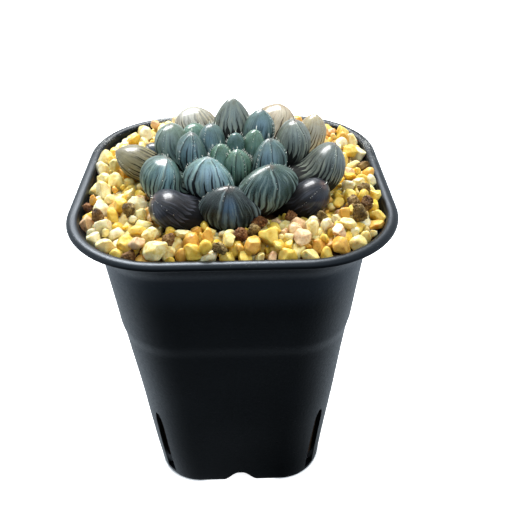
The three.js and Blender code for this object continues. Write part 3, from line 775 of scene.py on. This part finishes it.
def leaf_windows(made, look, swayed, depth, seed):
    """Dark veins start below the tip, each at its own depth, and open into windows downwards.

    Returns where the windows are, how far each place is from the middle of its window across the
    leaf, and how far below the window's start.
    """
    counted = made.times(swayed, look["windows"])
    column = made.plus(made.math("FLOOR", counted), seed)
    draw = made.node("ShaderNodeTexWhiteNoise", {"W": column}, noise_dimensions="1D").outputs
    first_draw = draw["Value"]
    second_draw, third_draw, fourth_draw = made.parts(draw["Color"])
    middle = made.scaled(third_draw, 0.4, 0.3)
    from_middle = made.math("ABSOLUTE", made.minus(made.math("FRACT", counted), middle))
    below = made.minus(depth, made.scaled(first_draw, 3.6, look["start"] - 1.0))
    opening = made.math("POWER", made.ease(below, 0.0, 7.5), 1.4)
    half = made.times(opening, made.scaled(second_draw, 0.2, 0.12))
    half = made.scaled(made.ease(below, 0.0, 1.5), 0.07, half)
    # They meet round the lower end of each finger.
    past_finger = made.minus(depth, made.scaled(first_draw, 2.4, look["end"] - 3.4))
    half = made.scaled(made.ease(past_finger, 0.0, 2.4), 0.55, half)
    window = made.ease(made.minus(half, from_middle), -0.025, 0.025)
    window = made.times(window, made.ease(below, 0.0, 0.8))
    window = made.times(window, made.ease(fourth_draw, 0.05, 0.15, 0.4, 1.0))
    return window, from_middle, below


def keel_lines(made, colour, keel, swayed, depth, finger, dark):
    """A keel is a dark line with a pale ridge beside it."""
    gap = made.minus(made.math("FRACT", made.plus(swayed, 1.5 - keel / 360)), 0.5)
    # Lines come together towards the tip, so the same width there is a larger share of the turn.
    side_step = made.times(gap, made.scaled(depth, 3.0, 4.0))
    shown = made.ease(depth, 0.6, 2.2)
    ridge = made.times(made.near(side_step, -0.18, 0.03, 0.2), made.times(shown, 0.45))
    line = made.times(made.near(side_step, 0.14, 0.05, 0.18), made.times(shown, 0.7))
    return made.cover(colour, (ridge, finger), (line, dark))


def leaf_look(index, leaf, look):
    body, glow, finger, dark, foot = [srgb(*colour) for colour in TONES[look["tone"]]]
    end = look["end"]
    made = Look(f"window_leaf_{index + 1:02d}")
    mapped = made.node("ShaderNodeUVMap", {}, uv_map="leaf_map").outputs[0]
    around, down, _ = made.parts(mapped)
    depth = made.times(down, MAP_LENGTH)
    place = made.place()
    seed = 3.7 * index
    sway = made.noise(made.vector(made.times(around, 9.0), made.times(down, 5.0), seed), 1.0, 2.0)
    swayed = made.scaled(made.minus(sway, 0.5), 0.045, around)
    window, from_middle, below = leaf_windows(made, look, swayed, depth, seed)
    # A soft shade lies round each window and reaches higher than the window itself.
    shade = made.times(made.ease(from_middle, 0.05, 0.36, 1.0, 0.0), made.ease(below, -2.6, 3.4))

    # The body is mottled. The middle of the faces that turn to the front and back of the pot is bluish,
    # partly the leaf's own colour and partly a painted glow; the margins between them, its outline from
    # the front, are greener and darker with painted shade. Pale fingers run down between the windows.
    # Fine lines, pale and dark, fade out towards the tip.
    mottle = made.noise(place, 1.0, 4.0, 0.6)
    facing = (540 - leaf["turn"]) / 360  # the side of the leaf that faces the front of the pot
    faces = made.scaled(around, 2.0, 4.5 - 2 * facing)
    aside = made.math("ABSOLUTE", made.minus(made.math("FRACT", faces), 0.5))
    painted_glow_band = made.times(made.ease(aside, 0.02, look["band"], 0.95, 0.0), made.ease(depth, 1.8, 5.0))
    between = made.times(made.ease(below, 0.5, 6.5), made.ease(from_middle, 0.08, 0.34))
    veins = made.noise(made.vector(made.times(swayed, 64.0), made.times(down, 3.5), seed), 1.0, 2.0)
    below_tip = made.ease(depth, 1.5, 6.5, 0.2, 1.0)
    specks = made.noise(place, 3.6, 3.0, 0.7)
    net = made.cells(place, 2.4, feature="DISTANCE_TO_EDGE")
    streaks = made.noise(made.vector(made.times(swayed, 42.0), down, seed + 9.0), 1.0, 3.0)
    colour = made.cover(
        body,
        (made.ease(mottle, 0.42, 0.64, 0.0, 0.55), foot),
        # Painted shade at the margins, as they are seen from the front.
        (made.ease(aside, 0.3, 0.48, 0.0, 0.5), foot),
        # A painted glow in the middle of the faces, partly the leaf's own bluish colour.
        (painted_glow_band, glow),
        (made.times(between, 0.9), finger),
        (made.times(made.ease(veins, 0.5, 0.66, 0.0, 0.5), below_tip), finger),
        (made.times(made.ease(veins, 0.34, 0.48, 0.5, 0.0), below_tip), dark),
        (made.ease(specks, 0.53, 0.7, 0.0, 0.4), foot),
        (made.ease(net, 0.0, 0.12, 0.12, 0.0), finger),
        (made.times(made.ease(streaks, 0.5, 0.8, 0.0, 0.42), made.ease(depth, 2.5, 7.0)), dark),
        (made.times(shade, 0.34), dark),
        (made.times(window, 0.95), dark),
        # Below where the fingers end the leaf is painted nearly black: painted shade low among the
        # leaves.
        (made.ease(depth, end - 0.8, end + 1.6, 0.0, 0.9), dark),
    )
    for keel in look["keels"]:
        colour = keel_lines(made, colour, keel, swayed, depth, finger, dark)

    if look["tone"] in GLASSY_TONES:
        roughness = made.ease(specks, 0.3, 0.7, 0.2, 0.34)
    else:
        # The tip is tinged with red and brown.
        roughness = made.ease(mottle, 0.3, 0.8, 0.3, 0.44)
        tinge = made.times(made.ease(depth, 0.3, 2.0, 0.5, 0.0), made.ease(mottle, 0.36, 0.6, 0.3, 1.0))
        colour = made.mix(tinge, colour, srgb(112, 82, 70))
    made.surface(
        Base_Color=colour,
        Roughness=made.plus(roughness, made.ease(depth, 5.5, 8.5, 0.0, 0.42)),
        Subsurface_Weight=0.6 if look["tone"] == "cream" else 0.4,
        Subsurface_Radius=(0.9, 1.1, 1.0),
        Subsurface_Scale=0.0016,
        IOR=1.42,
        Specular_IOR_Level=0.4,
        Coat_Weight=made.ease(depth, 4.5, 7.5, 0.25 if look["tone"] in DULL_TONES else 0.4, 0.0),
        Coat_Roughness=0.1,
    )
    made.bump(made.scaled(window, -0.5, made.plus(mottle, veins)), 0.045, 0.4)
    return made.block


def tooth_look():
    made = Look("leaf_teeth")
    grain = made.noise(made.place(), 3.0)
    made.surface(
        Base_Color=made.mix(grain, srgb(205, 205, 190), srgb(240, 240, 228)),
        Roughness=0.35,
        Subsurface_Weight=0.3,
        Subsurface_Radius=(1.0, 1.0, 0.9),
        Subsurface_Scale=0.0005,
    )
    return made.block


# The gravel


def heap_rise(x, y):
    """How much higher the gravel lies here. Each heap has its middle, its rise and its spread."""
    return sum(
        rise * np.exp(-((x - middle_x) ** 2 + (y - middle_y) ** 2) / spread**2)
        for middle_x, middle_y, rise, spread in HEAPS
    )


def gravel_lies_at(x, y, hole):
    """Whether a place is inside the rim and outside a round hole for the leaves."""
    beyond = np.hypot(max(0, abs(x) - RIM_STRAIGHT), max(0, abs(y) - RIM_STRAIGHT))
    inside_rim = beyond < inner_half(GRAIN_LEVEL_AT_WALL) - GRAIN_MARGIN - RIM_STRAIGHT
    return inside_rim and math.hypot(x - AXIS[0], y - AXIS[1]) > hole


def new_grain(x, y, lift, size, shape, turns, brown=False):
    centre = (x, y, GRAVEL_LEVEL + lift + heap_rise(x, y))
    return {"centre": centre, "size": size, "shape": shape, "turns": turns, "brown": brown}


def random_shape(random, flatness):
    return [least + more * next(random) for least, more in flatness]


def random_turns(random):
    return [2 * math.pi * next(random) for _ in range(3)]


def source_grains():
    """The grains of the part's source, by the same draws in the same order."""
    random = random_source(GRAVEL_SEED)

    def between(limits):
        return limits[0] + (limits[1] - limits[0]) * next(random)

    row_step = GRAIN_SPACING * math.sqrt(3) / 2
    rows = math.ceil(RIM_HALF / row_step)
    columns = math.ceil(RIM_HALF / GRAIN_SPACING)
    found = []
    for row in range(-rows, rows + 1):
        for column in range(-columns, columns + 1):
            x = (column + abs(row) % 2 / 2) * GRAIN_SPACING + between(GRAIN_SPREAD)
            y = row * row_step + between(GRAIN_SPREAD)
            size = between(GRAIN_SIZES) * LARGE_GRAIN_SHARE
            shape = (between(GRAIN_FLATNESS), between(GRAIN_FLATNESS))
            turns = random_turns(random)
            lift = between(GRAIN_LIFT)
            if gravel_lies_at(x, y, GRAVEL_HOLE):
                found.append(new_grain(x, y, lift, size, shape, turns))
    return found


def filler_grains():
    random = random_source(GRAVEL_SEED + 1)
    found = []
    for count, (low, high) in FILLERS:
        placed = 0
        while placed < count:
            x, y = [(2 * next(random) - 1) * (RIM_HALF - 4) for _ in range(2)]
            if gravel_lies_at(x, y, FILLER_HOLE):
                lift = FILLER_LIFT * next(random)
                shape = random_shape(random, FILLER_FLATNESS)
                turns = random_turns(random)
                size = low + (high - low) * next(random)
                found.append(new_grain(x, y, lift, size, shape, turns))
                placed += 1
    return found


def brown_lumps():
    random = random_source(GRAVEL_SEED + 3)
    found = []
    for x, y, size in LUMPS:
        shape = random_shape(random, LUMP_FLATNESS)
        found.append(new_grain(x, y, LUMP_LIFT, size, shape, random_turns(random), brown=True))
    return found


def leaf_balls():
    """Balls that fill the leaves, to keep grains out of them."""
    centres, radii = [], []
    for leaf in LEAVES:
        stations = leaf_stations(leaf)
        shares = np.linspace(0.25, 0.95, 12)
        places, _, knots = midline(stations, shares)
        size = swelling(leaf, shares, knots[2])
        centres.append(places)
        radii.append(size * (leaf["width"] + leaf["thick"]) / 4)
    return np.vstack(centres), np.concatenate(radii)


def settle_grains(grains):
    """Lets the grains sink on the bed and on each other, clear of the leaves and of the wall."""
    centre = np.array([grain["centre"] for grain in grains])
    mean_halves = [grain["size"] * (1 + sum(grain["shape"])) / 3 for grain in grains]
    radius = np.array(mean_halves) * GRAIN_CONTACT
    reach = radius[:, None] + radius[None, :]
    ball_centres, ball_radii = leaf_balls()
    top = GRAVEL_LEVEL + np.array([LUMP_TOP if grain["brown"] else GRAVEL_TOP for grain in grains])
    for step in range(SETTLING["steps"]):
        centre[:, 2] -= SETTLING["fall"] * (1 - step / SETTLING["steps"])
        apart = centre[:, None] - centre[None, :]
        distance = np.linalg.norm(apart, axis=2) + 1e-9
        push = np.clip(reach - distance, 0, None)
        np.fill_diagonal(push, 0)
        centre += (apart / distance[..., None] * push[..., None]).sum(axis=1) * SETTLING["push"]
        off = centre[:, None] - ball_centres[None, :]
        near = np.linalg.norm(off, axis=2) + 1e-9
        press = np.clip(radius[:, None] + ball_radii[None, :] - near, 0, None)
        off[..., 2] = np.minimum(off[..., 2], 0)
        centre += (off / near[..., None] * press[..., None]).sum(axis=1) * SETTLING["press"]
        rise = heap_rise(centre[:, 0], centre[:, 1])
        hollow = np.minimum(0, rise)
        bed = GRAVEL_BED + hollow
        outward = np.hypot(centre[:, 0] - AXIS[0], centre[:, 1] - AXIS[1])
        dip = np.clip((GRAVEL_DIP["from"] - outward) / (GRAVEL_DIP["from"] - GRAVEL_DIP["to"]), 0, 1)
        cap = top + rise + hollow * HOLLOW_GAIN - dip * GRAVEL_DIP["depth"]
        centre[:, 2] = np.clip(centre[:, 2], bed + radius * GRAIN_ON_BED, cap)
        core = np.clip(centre[:, :2], -RIM_STRAIGHT, RIM_STRAIGHT)
        beyond = centre[:, :2] - core
        length = np.linalg.norm(beyond, axis=1) + 1e-9
        level = np.minimum(INNER_FLARE_END, centre[:, 2])
        room = inner_half(level) - WALL_CLEARANCE - RIM_STRAIGHT - radius * GRAIN_AT_WALL
        centre[:, :2] = core + beyond * np.minimum(1, room / length)[:, None]
    for grain, place in zip(grains, centre):
        grain["centre"] = place


def ball_mesh(subdivisions):
    ball = bmesh.new()
    bmesh.ops.create_icosphere(ball, subdivisions=subdivisions, radius=1)
    points = np.array([vertex.co for vertex in ball.verts])
    faces = np.array([[vertex.index for vertex in face.verts] for face in ball.faces])
    ball.free()
    return points, faces


def grain_points(grain, ball, random):
    """A worn grain: a ball that is flattened by several planes and then stretched and turned."""
    points = ball.copy()
    for _ in range(GRAIN_PLANES):
        normal = unit(np.array([next(random) - 0.5 for _ in range(3)]))
        limit = 0.58 + 0.3 * next(random)
        points -= np.clip(points @ normal - limit, 0, None)[:, None] * normal * 0.92
    points *= 1.06
    shift = Vector([50 * next(random) for _ in range(3)])
    bumps = np.array([noise.noise(Vector(point) * 1.6 + shift) for point in points])
    if grain["brown"]:
        bumps += np.array([abs(noise.noise(Vector(point) * 3.4 + shift)) for point in points]) * -2.6
    points *= 1 + bumps[:, None] * (0.16 if grain["brown"] else 0.1)
    points *= np.array([1, *grain["shape"]]) * grain["size"]
    for turn, axis in zip(grain["turns"], "XYZ"):
        points = points @ np.array(Matrix.Rotation(turn, 3, axis)).T
    return points + grain["centre"]


def group_of(grain, random):
    draw = next(random)
    if grain["brown"]:
        return "brown"
    total = 0
    for name, (share, *_) in QUARTZ.items():
        total += share
        if draw < total:
            return name
    return "cream"


def make_gravel(looks):
    grains = source_grains() + filler_grains() + brown_lumps()
    settle_grains(grains)
    random = random_source(GRAVEL_SEED + 2)
    fine, coarse = ball_mesh(4), ball_mesh(3)
    groups = {name: {"points": [], "triangles": [], "tones": []} for name in looks}
    for grain in grains:
        group = groups[group_of(grain, random)]
        ball, triangles = fine if grain["size"] > FINE_GRAIN or grain["brown"] else coarse
        group["triangles"].append(triangles + sum(len(points) for points in group["points"]))
        group["points"].append(grain_points(grain, ball, random))
        group["tones"].append(np.full(len(ball), next(random)))
    for name, group in groups.items():
        points, triangles, tones = [np.concatenate(parts) for parts in group.values()]
        piece_name = "gravel_" + name
        piece = mesh_object(piece_name, points, triangles, looks[name], tones=tones, mend_normals=False)
        settle_piece(piece, "gravel")


def make_gravel_bed(material):
    """The dark, crumbly layer that the grains are sunk in."""
    rings = []
    for share in np.linspace(0, 1, BED_RINGS + 1)[1:]:
        ring = square_ring((inner_half(GRAVEL_BED) - 0.5) * share, RIM_STRAIGHT * share, 0)
        for point in ring:
            crumbs = noise.noise(Vector(point) * 0.9) * 0.35 + noise.noise(Vector(point) * 0.35) * 0.3
            point[2] = GRAVEL_BED + heap_rise(point[0], point[1]) * 0.95 + crumbs
        rings.append(ring)
    rings.append(square_ring(inner_half(GRAVEL_FLOOR) - 0.5, wall_straight(GRAVEL_FLOOR), GRAVEL_FLOOR))
    points = np.vstack([[[0, 0, GRAVEL_BED]], *rings, [[0, 0, GRAVEL_FLOOR]]])
    piece = mesh_object("gravel_bed", points, loft_faces(len(rings), len(rings[0])), material)
    settle_piece(piece, "gravel")


def grain_look(name, colours, stain, milkiness):
    """Worn quartz: a colour that differs from grain to grain, with stains and a milky depth."""
    made = Look("grains_" + name)
    place = made.place()
    pick = made.tone()
    cloud = made.noise(place, 0.8, 4.0, 0.6)
    stains = made.noise(place, 0.45, 5.0, 0.65)
    grit = made.noise(place, 5.0, 4.0, 0.7)
    colour = made.cover(
        srgb(*colours[0]),
        (pick, srgb(*colours[1])),
        (made.ease(cloud, 0.4, 0.72), srgb(*colours[2])),
        (made.ease(stains, 0.56, 0.72, 0.0, 0.75), srgb(*stain)),
        (made.ease(grit, 0.62, 0.8, 0.0, 0.4), srgb(*stain)),
    )
    made.surface(
        Base_Color=colour,
        Roughness=made.ease(grit, 0.3, 0.7, 0.22, 0.45),
        Subsurface_Weight=milkiness,
        Subsurface_Radius=(1.0, 0.75, 0.45),
        Subsurface_Scale=0.0015,
        IOR=1.5,
    )
    made.bump(made.scaled(cloud, 2.0, grit), 0.12, 0.5)
    return made.block


def pumice_look():
    made = Look("grains_brown")
    place = made.place()
    cloud = made.noise(place, 0.6, 5.0, 0.65)
    pick = made.tone()
    olive = made.ramp(cloud, [(0.3, (52, 38, 18)), (0.48, (112, 88, 46)), (0.68, (176, 152, 96))])
    rusty = made.ramp(cloud, [(0.3, (44, 22, 12)), (0.48, (104, 62, 32)), (0.68, (168, 122, 74))])
    colour = made.mix(made.ease(pick, 0.3, 0.7), olive, rusty)
    pores = made.cells(place, 2.2)
    # The pores are painted dark: painted shade in the pits.
    colour = made.mix(made.ease(pores, 0.1, 0.32, 0.8, 0.0), colour, srgb(34, 20, 10))
    made.surface(Base_Color=colour, Roughness=0.72, Specular_IOR_Level=0.35)
    made.bump(made.plus(pores, cloud), 0.35, 0.8)
    return made.block


def earth_look(name, dark, light):
    made = Look(name)
    place = made.place()
    crumbs = made.noise(place, 0.7, 6.0, 0.7)
    colour = made.ramp(crumbs, [(0.3, dark), (0.55, light), (0.72, dark)])
    specks = made.cells(place, 0.9)
    colour = made.mix(made.ease(specks, 0.05, 0.16, 0.6, 0.0), colour, srgb(150, 132, 104))
    made.surface(Base_Color=colour, Roughness=0.9, Specular_IOR_Level=0.2)
    made.bump(crumbs, 0.8, 0.8)
    return made.block


def stem_look():
    made = Look("pale_stem")
    place = made.place()
    x, y, z = made.parts(place)
    streaks = made.noise(made.vector(x, y, made.times(z, 0.15)), 1.6, 4.0)
    colour = made.ramp(streaks, [(0.3, (120, 104, 70)), (0.6, (178, 170, 130)), (0.8, (206, 200, 168))])
    made.surface(Base_Color=colour, Roughness=0.62)
    made.bump(streaks, 0.3, 0.6)
    return made.block


def plastic_look(name, gloss, dull, roughness, relief):
    """Black plastic with a satin sheen, fine mottling, white dust where the rim is worn, and a painted
    band of light below the rim.
    """
    made = Look(name)
    place = made.place()
    x, y, z = made.parts(place)
    broad = made.noise(place, 0.07, 4.0, 0.6)
    fine = made.noise(place, 1.5, 5.0, 0.65)
    drips = made.noise(made.vector(x, y, made.times(z, 0.08)), 0.5, 3.0)
    # The wall is painted a little paler below the rim, a painted band of light that fades out under the
    # lip as painted shade, and it is duller towards its foot and on its right. The back of the rim is
    # worn matt.
    painted_light_band = made.times(made.ease(z, 70.0, 80.0), made.ease(z, 81.5, 86.5, 1.0, 0.0))
    at_foot = made.ease(x, -10.0, 14.0, 0.68, 0.05)
    sheen = made.times(made.ease(z, 2.0, 66.0, at_foot, 1.0), made.ease(z, 79.0, 87.0, 1.0, dull))
    sheen = made.times(sheen, made.ease(x, 6.0, 24.0, 1.0, 0.74))
    worn = made.times(made.ease(z, 86.5, 88.0), made.ease(y, 2.0, 22.0, 0.0, 0.6))
    sheen = made.times(sheen, made.minus(1.0, worn))

    # Dust and small chips on the rim, most of them at the back.
    speckle = made.noise(place, 2.6, 5.0, 0.75)
    speckle = made.scaled(made.noise(place, 0.12, 2.0), 0.25, speckle)
    dust = made.ease(made.plus(speckle, made.ease(y, -6.0, 22.0, 0.0, 0.10)), 0.77, 0.87)
    colour = made.cover(
        srgb(4, 5, 6),
        (made.ease(broad, 0.3, 0.7), srgb(8, 10, 12)),
        (made.ease(fine, 0.5, 0.75, 0.0, 0.3), srgb(14, 17, 21)),
        (made.ease(drips, 0.55, 0.8, 0.0, 0.25), srgb(15, 18, 22)),
        # A painted band of light below the rim, fading to painted shade under the lip.
        (painted_light_band, srgb(38, 44, 52)),
        (made.times(dust, made.ease(z, 88.5, 89.2, 0.0, 0.7)), srgb(190, 190, 182)),
    )
    made.surface(
        Base_Color=colour,
        Roughness=made.ease(fine, 0.3, 0.75, roughness, roughness + 0.12),
        Specular_IOR_Level=made.times(sheen, gloss),
        Specular_Tint=(0.76, 0.87, 1.0, 1.0),
        Sheen_Weight=0.03,
        Sheen_Roughness=0.35,
        Sheen_Tint=(0.75, 0.88, 1.0, 1.0),
    )
    made.bump(made.scaled(made.ease(made.cells(place, 0.35), 0.02, 0.12), 0.6, fine), 0.12, relief)
    return made.block


# The studio


def make_camera():
    pitch, pan, roll = [math.radians(a) for a in (CAMERA_PITCH, CAMERA_PAN, CAMERA_ROLL)]
    forward = Vector((0, math.cos(pitch), -math.sin(pitch)))
    right = Vector((1, 0, 0))
    place = Vector((0, 0, CAMERA_LEVEL)) - forward * CAMERA_DISTANCE
    up = right.cross(forward)
    ahead = forward * math.cos(pan) + right * math.sin(pan)
    right = right * math.cos(pan) - forward * math.sin(pan)
    level_right = right
    right = level_right * math.cos(roll) + up * math.sin(roll)
    up = up * math.cos(roll) - level_right * math.sin(roll)
    pose = Matrix((right, up, -ahead)).transposed().to_4x4()
    pose.translation = place * MM
    data = bpy.data.cameras.new("camera")
    data.sensor_width = SENSOR
    data.lens = SENSOR * FOCAL_PIXELS / IMAGE_PIXELS
    data.clip_start = 0.005
    camera = bpy.data.objects.new("camera", data)
    bpy.context.scene.collection.objects.link(camera)
    camera.matrix_world = Matrix.Rotation(math.radians(CAMERA_AZIMUTH), 4, "Z") @ pose
    bpy.context.scene.camera = camera


def make_floor():
    look = Look("pale_floor")
    cloud = look.noise(look.place(), 0.01)
    # It glows softly, but not under the corners of the pot, where the slits look down on it.
    x, y, _ = look.parts(look.place())
    x, y = look.math("ABSOLUTE", x), look.math("ABSOLUTE", y)
    aside = look.ease(look.math("MINIMUM", x, y), 8.0, 13.0, 1.0, 0.0)
    x, y = [look.math("MAXIMUM", look.minus(side, WALL_STRAIGHT_FOOT), 0.0) for side in (x, y)]
    from_corner = look.math("SQRT", look.plus(look.times(x, x), look.times(y, y)))
    foot_radius = WALL_HALF_FOOT - WALL_STRAIGHT_FOOT
    beyond = look.ease(from_corner, foot_radius - 0.6, foot_radius + 0.4)
    glow = look.times(look.math("MAXIMUM", beyond, aside), 0.85)
    look.surface(
        Base_Color=look.mix(cloud, srgb(246, 246, 246), srgb(250, 250, 250)),
        Roughness=0.8,
        Emission_Color=(1, 1, 1, 1),
        Emission_Strength=glow,
    )
    corners = np.array([(-1, -1, 0), (1, -1, 0), (1, 1, 0), (-1, 1, 0)]) * FLOOR_HALF
    floor = mesh_object("floor", corners, [(0, 1, 2, 3)], look.block)
    # The pot and the leaves don't mirror the floor.
    floor.visible_glossy = False
    floor.visible_diffuse = False


def make_backdrop():
    """A pale dome round everything. Only the camera sees it: the light of the sky passes through."""
    look = Look("pale_backdrop")
    cloud = look.noise(look.place(), 0.001)
    look.surface(
        Base_Color=(0, 0, 0, 1),
        Roughness=1.0,
        Specular_IOR_Level=0.0,
        Emission_Color=look.mix(cloud, srgb(250, 250, 250), srgb(255, 255, 255)),
        Emission_Strength=1.0,
    )
    points, faces = ball_mesh(4)
    dome = mesh_object("backdrop", points * BACKDROP_RADIUS, faces, look.block)
    for light_path in ("diffuse", "glossy", "transmission", "shadow"):
        setattr(dome, "visible_" + light_path, False)


def make_softbox(name, turn, power):
    data = bpy.data.lights.new(name, "AREA")
    data.shape = "RECTANGLE"
    data.size = SOFTBOX["width"] * MM
    data.size_y = SOFTBOX["height"] * MM
    data.energy = power
    light = bpy.data.objects.new(name, data)
    bpy.context.scene.collection.objects.link(light)
    place = LIGHT_AIM + Vector(heading(turn, SOFTBOX["elevation"])) * SOFTBOX["distance"]
    light.location = place * MM
    light.rotation_mode = "QUATERNION"
    light.rotation_quaternion = (LIGHT_AIM - place).to_track_quat("-Z", "Y")
    return light


def make_world():
    """A sky that is bright above and behind the pot, and dim in front of it and below it."""
    look = Look("studio", "worlds", "Background")
    bpy.context.scene.world = look.block
    direction = look.node("ShaderNodeTexCoord", {}).outputs["Generated"]
    inputs = {0: direction, 1: (0, 1, SKY_SLANT)}
    slant = look.node("ShaderNodeVectorMath", inputs, operation="DOT_PRODUCT").outputs["Value"]
    look.surface(Color=SKY_COLOUR, Strength=look.ease(slant, *SKY_GRADIENT))


make_camera()
make_floor()
make_backdrop()
make_world()
make_softbox("back_softbox", 105, 8.5)
# The fill light from the right isn't mirrored in the pot or the leaves.
make_softbox("right_fill", -30, 1.6).visible_glossy = False
bpy.context.scene.view_settings.view_transform = "Standard"

wall_look = plastic_look("plastic_wall", 0.5, 0.3, 0.36, 0.4)
rim_look = plastic_look("plastic_rim", 0.42, 1.0, 0.3, 0.04)
make_pot(wall_look, rim_look)

teeth = tooth_look()
for number, (leaf, look) in enumerate(zip(LEAVES, LEAF_LOOKS)):
    make_leaf(number, leaf, look, leaf_look(number, leaf, look), teeth)

grain_looks = {name: grain_look(name, *rest) for name, (_, *rest) in QUARTZ.items()}
make_gravel({**grain_looks, "brown": pumice_look()})
make_gravel_bed(earth_look("dark_gravel_bed", (36, 22, 14), (84, 58, 34)))

# Soil and stem are shown as they are in the part.
shown_looks = {"soil": earth_look("potting_mix", (26, 18, 12), (70, 50, 32)), "stem": stem_look()}
for node, shown_look in shown_looks.items():
    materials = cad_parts[node].data.materials
    materials.clear()
    materials.append(shown_look)
